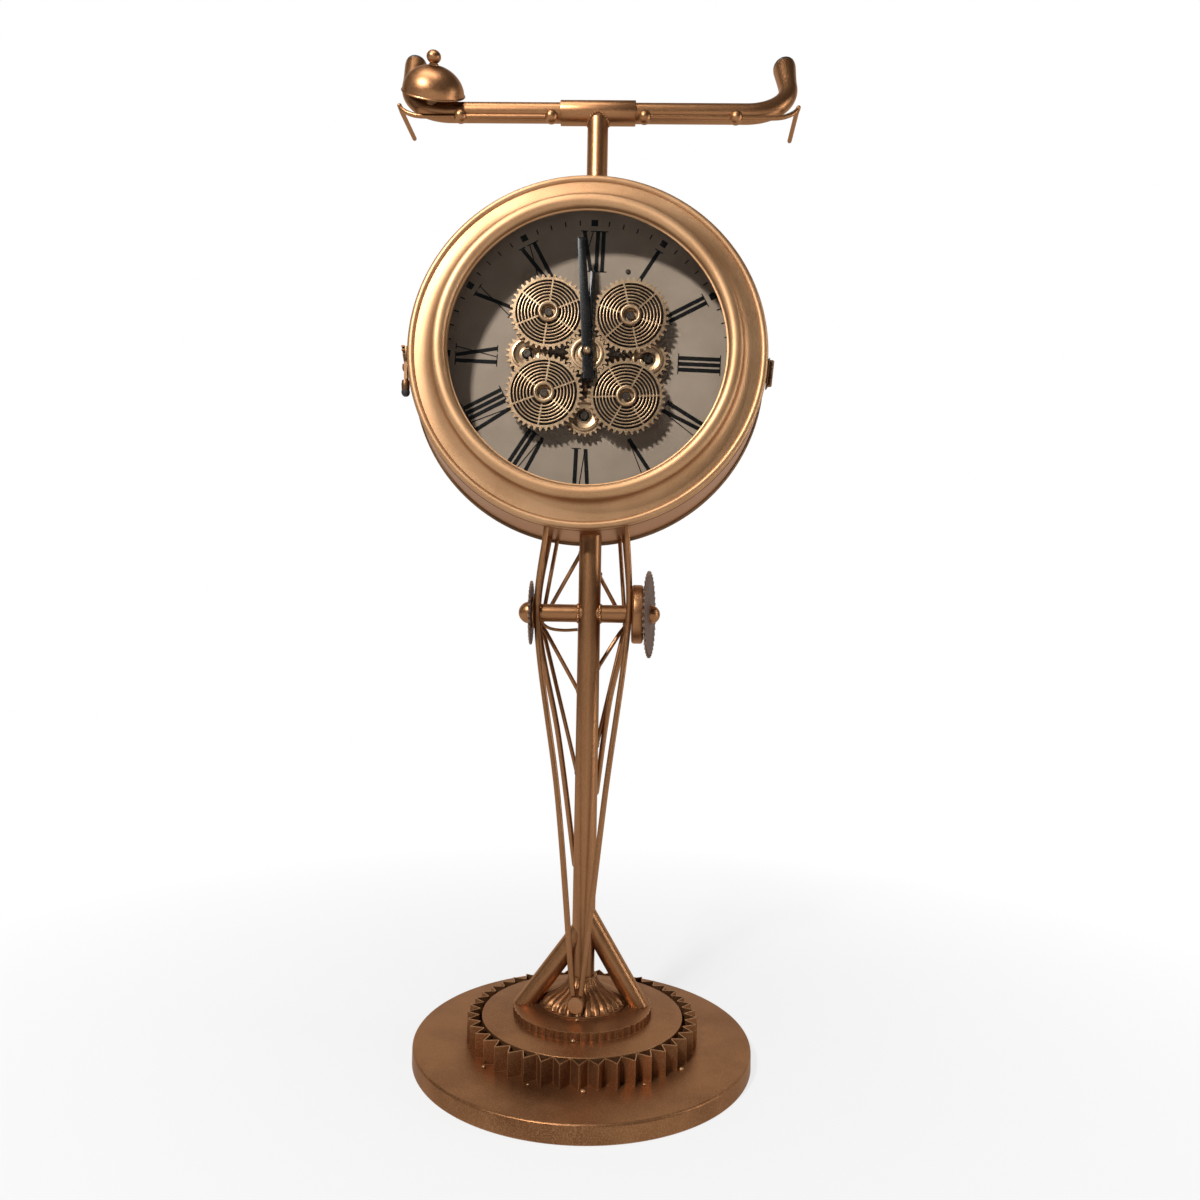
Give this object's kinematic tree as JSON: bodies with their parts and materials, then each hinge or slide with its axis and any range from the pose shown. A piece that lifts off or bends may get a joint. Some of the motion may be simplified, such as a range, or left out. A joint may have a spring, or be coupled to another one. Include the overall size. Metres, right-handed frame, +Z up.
{
  "type": "floor clock",
  "caption": "Round floor clock with a hinged glazed door and open gear train, on a braced pole with a handlebar and bell on top and a gear-shaped round base.",
  "frame": {"origin": "centre of the underside of the base, on the floor", "axes": "+Z up, -Y towards the viewer of the dial, +X to the viewer's right"},
  "size_m": [0.4822, 0.3612, 1.1588],
  "materials": {
    "copper_paint": "satin metallic",
    "gold_paint": "satin metallic",
    "bronze_paint": "worn dark metallic",
    "black_paint": "matt",
    "dial": "matt",
    "board": "raw board",
    "glass": "clear",
    "black_plastic": "matt",
    "rubber": "matt"
  },
  "bodies": {
    "stand": {"base_shell": "copper_paint", "base_puck": "copper_paint", "base_gear_strip": "copper_paint", "step_plate": "copper_paint", "rosette": "copper_paint", "pole": "copper_paint", "leg_left": "copper_paint", "leg_right": "copper_paint", "front_lug": "copper_paint", "cross_arm_left": "copper_paint", "cross_arm_right": "copper_paint", "left_cap": "copper_paint", "right_hub": "copper_paint", "right_cap": "copper_paint", "front_rod_left": "copper_paint", "front_rod_right": "copper_paint", "rear_rod_left": "copper_paint", "rear_rod_right": "copper_paint", "middle_rod_left": "copper_paint", "middle_rod_right": "copper_paint", "diagonal_rod_left": "copper_paint", "diagonal_rod_right": "copper_paint", "case_shell": "copper_paint", "stem": "copper_paint", "bar_clamp": "copper_paint", "handlebar": "copper_paint", "brake_rod_left": "copper_paint", "brake_rod_right": "copper_paint", "bell_dome": "copper_paint", "bell_knob": "copper_paint", "left_sprocket": "bronze_paint", "chainring": "bronze_paint", "back_cover": "bronze_paint", "train_bridge": "bronze_paint", "hinge_leaf_case": "bronze_paint", "latch_pad": "bronze_paint", "bell_bolt": "bronze_paint", "base_board": "board", "dial_plate": "dial", "movement": "black_plastic", "grip_plug_left": "black_plastic", "grip_plug_right": "black_plastic"},
    "door": {"door_ring": "gold_paint", "door_glass": "glass", "hinge_leaf_door": "bronze_paint", "latch_keeper": "bronze_paint"},
    "latch": {"latch_lever": "bronze_paint", "latch_tip": "rubber"},
    "minute": {"minute_hand": "black_paint", "hand_nut": "gold_paint"},
    "hour": {"hour_hand": "black_paint"},
    "upper_left_wheel": {"wheel_upper_left": "gold_paint"},
    "upper_right_wheel": {"wheel_upper_right": "gold_paint"},
    "lower_left_wheel": {"wheel_lower_left": "gold_paint"},
    "lower_right_wheel": {"wheel_lower_right": "gold_paint"},
    "middle_wheel": {"center_wheel": "gold_paint"},
    "left_idler": {"idler_left": "gold_paint"},
    "right_idler": {"idler_right": "gold_paint"},
    "lower_idler": {"idler_lower": "gold_paint"}
  },
  "joints": [
    {"name": "door_hinge", "type": "hinge", "parent": "stand", "child": "door", "pos_m": [0.19548, -0.03, 0.74272], "axis": [0.1045, 0, 0.9945], "range_deg": [0, 110]},
    {"name": "latch_pivot", "type": "hinge", "parent": "stand", "child": "latch", "pos_m": [-0.2095, -0.022, 0.74768], "axis": [-0.9992, 0, -0.041], "range_deg": [0, 35]},
    {"name": "minute_arbor", "type": "hinge", "parent": "stand", "child": "minute", "pos_m": [-0.007, -0.025, 0.764], "axis": [0, 1, 0], "continuous": true},
    {"name": "hour_tube", "type": "hinge", "parent": "stand", "child": "hour", "pos_m": [-0.007, -0.025, 0.764], "axis": [0, 1, 0], "continuous": true},
    {"name": "upper_left_arbor", "type": "hinge", "parent": "stand", "child": "upper_left_wheel", "pos_m": [-0.05137, -0.025, 0.81158], "axis": [0, 1, 0], "continuous": true},
    {"name": "upper_right_arbor", "type": "hinge", "parent": "stand", "child": "upper_right_wheel", "pos_m": [0.04058, -0.025, 0.80837], "axis": [0, 1, 0], "continuous": true},
    {"name": "lower_left_arbor", "type": "hinge", "parent": "stand", "child": "lower_left_wheel", "pos_m": [-0.05458, -0.025, 0.71963], "axis": [0, 1, 0], "continuous": true},
    {"name": "lower_right_arbor", "type": "hinge", "parent": "stand", "child": "lower_right_wheel", "pos_m": [0.03737, -0.025, 0.71642], "axis": [0, 1, 0], "continuous": true},
    {"name": "middle_arbor", "type": "hinge", "parent": "stand", "child": "middle_wheel", "pos_m": [-0.007, -0.025, 0.764], "axis": [0, 1, 0], "continuous": true},
    {"name": "left_idler_arbor", "type": "hinge", "parent": "stand", "child": "left_idler", "pos_m": [-0.07496, -0.025, 0.76637], "axis": [0, 1, 0], "continuous": true},
    {"name": "right_idler_arbor", "type": "hinge", "parent": "stand", "child": "right_idler", "pos_m": [0.06096, -0.025, 0.76163], "axis": [0, 1, 0], "continuous": true},
    {"name": "lower_idler_arbor", "type": "hinge", "parent": "stand", "child": "lower_idler", "pos_m": [-0.00937, -0.025, 0.69604], "axis": [0, 1, 0], "continuous": true}
  ],
  "couplings": [
    {"joint": "hour_tube", "follows": "minute_arbor", "ratio": 0.083333},
    {"joint": "upper_right_arbor", "follows": "upper_left_arbor", "ratio": 1},
    {"joint": "lower_left_arbor", "follows": "upper_left_arbor", "ratio": 1},
    {"joint": "lower_right_arbor", "follows": "upper_left_arbor", "ratio": 1},
    {"joint": "middle_arbor", "follows": "upper_left_arbor", "ratio": -1.8182},
    {"joint": "left_idler_arbor", "follows": "upper_left_arbor", "ratio": -1.2727},
    {"joint": "right_idler_arbor", "follows": "upper_left_arbor", "ratio": -1.2727},
    {"joint": "lower_idler_arbor", "follows": "upper_left_arbor", "ratio": -1.2727}
  ]
}
